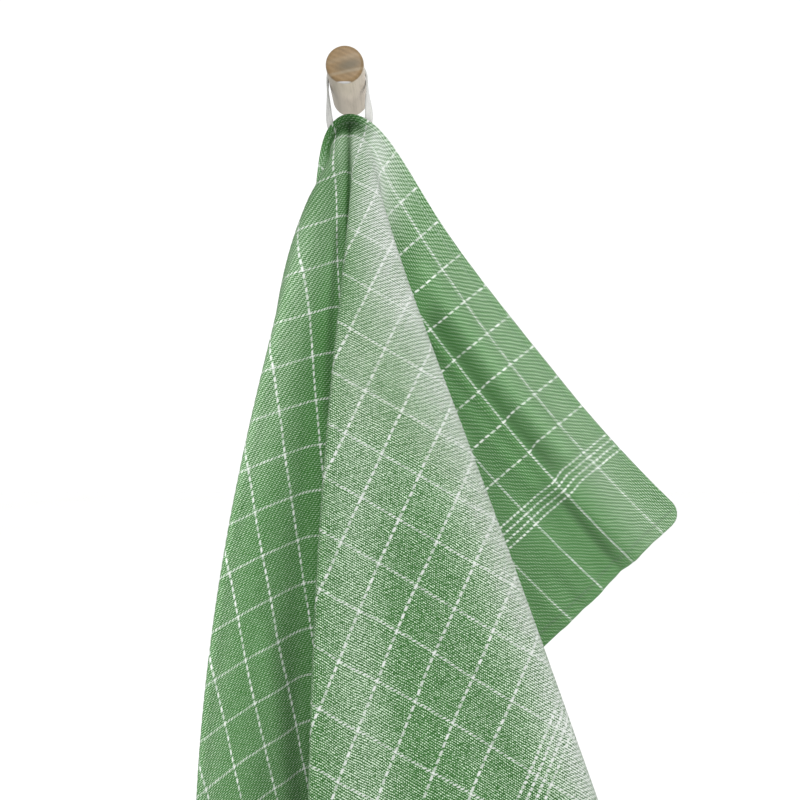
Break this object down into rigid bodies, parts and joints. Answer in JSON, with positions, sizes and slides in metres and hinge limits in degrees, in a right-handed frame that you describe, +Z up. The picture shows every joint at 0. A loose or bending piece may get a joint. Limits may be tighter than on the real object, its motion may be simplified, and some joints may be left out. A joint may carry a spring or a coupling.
{
  "type": "tea towel on a wall peg",
  "caption": "Checked cotton tea towel hanging in deep cone-shaped folds by a tape loop from a short round wooden wall peg.",
  "frame": {"origin": "centre of the peg's back face, on the wall", "axes": "+Z up, +Y into the wall, -Y towards the room, +X to the right seen from the room"},
  "size_m": [0.3142, 0.1574, 0.6552],
  "materials": {
    "towel_cotton": "green woven cotton with fine white check lines",
    "tape_cotton": "plain white woven tape",
    "peg_wood": "oiled wood, light at the underside"
  },
  "bodies": {
    "root": {"towel": "towel_cotton", "hanging_loop": "tape_cotton", "peg": "peg_wood"}
  },
  "joints": []
}
